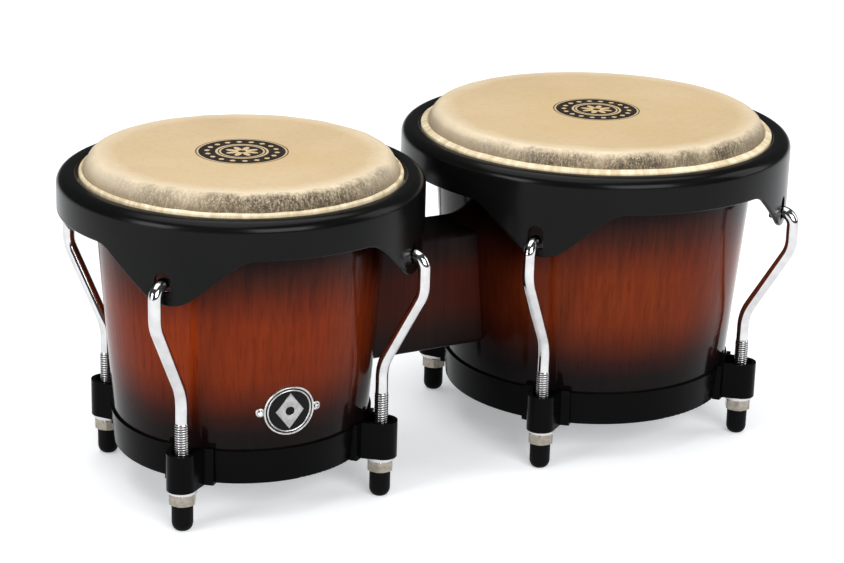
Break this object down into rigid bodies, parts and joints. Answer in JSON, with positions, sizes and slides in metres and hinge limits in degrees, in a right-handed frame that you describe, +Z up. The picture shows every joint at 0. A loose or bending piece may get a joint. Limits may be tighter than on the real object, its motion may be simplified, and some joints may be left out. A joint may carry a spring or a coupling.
{
  "type": "bongo drums",
  "caption": "Pair of tapered wooden hand drums on a centre block, with rawhide heads, scalloped black rims, hooked chrome tuning rods, tuning nuts and rubber-tipped rod feet.",
  "frame": {"origin": "on the floor under the middle of the pair, where the rubber tips stand", "axes": "+X from the small drum (macho) to the large drum (hembra), +Y to the back, +Z up through the heads"},
  "size_m": [0.4086, 0.2108, 0.1745],
  "materials": {
    "sunburst_wood": "gloss lacquered sunburst, red-brown fading to black at the ends",
    "black_coated_steel": "satin black powder coat",
    "chrome_steel": "bright chrome plate",
    "nickel_steel": "warm nickel plate",
    "plain_steel": "zinc plate",
    "black_rubber": "matte moulded rubber",
    "rawhide": "translucent cream rawhide with mottled shoulder",
    "badge_chrome": "polished chrome",
    "black_enamel": "gloss black enamel"
  },
  "bodies": {
    "drum_frame": {"macho_shell": "sunburst_wood", "macho_bottom_ring": "black_coated_steel", "macho_lug_bracket_1": "black_coated_steel", "macho_lug_bracket_2": "black_coated_steel", "macho_lug_bracket_3": "black_coated_steel", "macho_lug_bracket_4": "black_coated_steel", "macho_lug_washers": "nickel_steel", "macho_head": "rawhide", "macho_bolt_saddle": "plain_steel", "hembra_shell": "sunburst_wood", "hembra_bottom_ring": "black_coated_steel", "hembra_lug_bracket_1": "black_coated_steel", "hembra_lug_bracket_2": "black_coated_steel", "hembra_lug_bracket_3": "black_coated_steel", "hembra_lug_bracket_4": "black_coated_steel", "hembra_lug_washers": "nickel_steel", "hembra_head": "rawhide", "hembra_bolt_saddle": "plain_steel", "centre_block": "sunburst_wood", "block_bolt_upper": "plain_steel", "block_bolt_lower": "plain_steel", "block_bolt_washers": "plain_steel", "block_bolt_nuts": "plain_steel", "badge_plate": "badge_chrome", "badge_enamel": "black_enamel", "badge_screws": "badge_chrome"},
    "macho_tuner": {"macho_rim": "black_coated_steel", "macho_flesh_hoop": "plain_steel", "macho_head_tuck": "rawhide", "macho_tuning_rod_1": "chrome_steel", "macho_tuning_rod_2": "chrome_steel", "macho_tuning_rod_3": "chrome_steel", "macho_tuning_rod_4": "chrome_steel", "macho_rubber_tip_1": "black_rubber", "macho_rubber_tip_2": "black_rubber", "macho_rubber_tip_3": "black_rubber", "macho_rubber_tip_4": "black_rubber"},
    "macho_nut_1": {"macho_tuning_nut_1": "nickel_steel"},
    "macho_nut_2": {"macho_tuning_nut_2": "nickel_steel"},
    "macho_nut_3": {"macho_tuning_nut_3": "nickel_steel"},
    "macho_nut_4": {"macho_tuning_nut_4": "nickel_steel"},
    "hembra_tuner": {"hembra_rim": "black_coated_steel", "hembra_flesh_hoop": "plain_steel", "hembra_head_tuck": "rawhide", "hembra_tuning_rod_1": "chrome_steel", "hembra_tuning_rod_2": "chrome_steel", "hembra_tuning_rod_3": "chrome_steel", "hembra_tuning_rod_4": "chrome_steel", "hembra_rubber_tip_1": "black_rubber", "hembra_rubber_tip_2": "black_rubber", "hembra_rubber_tip_3": "black_rubber", "hembra_rubber_tip_4": "black_rubber"},
    "hembra_nut_1": {"hembra_tuning_nut_1": "nickel_steel"},
    "hembra_nut_2": {"hembra_tuning_nut_2": "nickel_steel"},
    "hembra_nut_3": {"hembra_tuning_nut_3": "nickel_steel"},
    "hembra_nut_4": {"hembra_tuning_nut_4": "nickel_steel"}
  },
  "joints": [
    {"name": "macho_tension", "type": "slide", "parent": "drum_frame", "child": "macho_tuner", "axis": [0, 0, -1], "range_m": [0, 0.005]},
    {"name": "macho_nut_1_turn", "type": "hinge", "parent": "drum_frame", "child": "macho_nut_1", "pos_m": [-0.16767, -0.05224, 0.0178], "axis": [0, 0, 1], "range_deg": [0, 1417.8]},
    {"name": "macho_nut_2_turn", "type": "hinge", "parent": "drum_frame", "child": "macho_nut_2", "pos_m": [-0.05941, -0.05602, 0.0178], "axis": [0, 0, 1], "range_deg": [0, 1417.8]},
    {"name": "macho_nut_3_turn", "type": "hinge", "parent": "drum_frame", "child": "macho_nut_3", "pos_m": [-0.05563, 0.05224, 0.0178], "axis": [0, 0, 1], "range_deg": [0, 1417.8]},
    {"name": "macho_nut_4_turn", "type": "hinge", "parent": "drum_frame", "child": "macho_nut_4", "pos_m": [-0.16389, 0.05602, 0.0178], "axis": [0, 0, 1], "range_deg": [0, 1417.8]},
    {"name": "hembra_tension", "type": "slide", "parent": "drum_frame", "child": "hembra_tuner", "axis": [0, 0, -1], "range_m": [0, 0.005]},
    {"name": "hembra_nut_1_turn", "type": "hinge", "parent": "drum_frame", "child": "hembra_nut_1", "pos_m": [0.03445, -0.06015, 0.0178], "axis": [0, 0, 1], "range_deg": [0, 1417.8]},
    {"name": "hembra_nut_2_turn", "type": "hinge", "parent": "drum_frame", "child": "hembra_nut_2", "pos_m": [0.1591, -0.06451, 0.0178], "axis": [0, 0, 1], "range_deg": [0, 1417.8]},
    {"name": "hembra_nut_3_turn", "type": "hinge", "parent": "drum_frame", "child": "hembra_nut_3", "pos_m": [0.16345, 0.06015, 0.0178], "axis": [0, 0, 1], "range_deg": [0, 1417.8]},
    {"name": "hembra_nut_4_turn", "type": "hinge", "parent": "drum_frame", "child": "hembra_nut_4", "pos_m": [0.0388, 0.06451, 0.0178], "axis": [0, 0, 1], "range_deg": [0, 1417.8]}
  ],
  "couplings": [
    {"joint": "macho_nut_1_turn", "follows": "macho_tension", "rad_per_m": 4947.4},
    {"joint": "macho_nut_2_turn", "follows": "macho_tension", "rad_per_m": 4947.4},
    {"joint": "macho_nut_3_turn", "follows": "macho_tension", "rad_per_m": 4947.4},
    {"joint": "macho_nut_4_turn", "follows": "macho_tension", "rad_per_m": 4947.4},
    {"joint": "hembra_nut_1_turn", "follows": "hembra_tension", "rad_per_m": 4947.4},
    {"joint": "hembra_nut_2_turn", "follows": "hembra_tension", "rad_per_m": 4947.4},
    {"joint": "hembra_nut_3_turn", "follows": "hembra_tension", "rad_per_m": 4947.4},
    {"joint": "hembra_nut_4_turn", "follows": "hembra_tension", "rad_per_m": 4947.4}
  ]
}
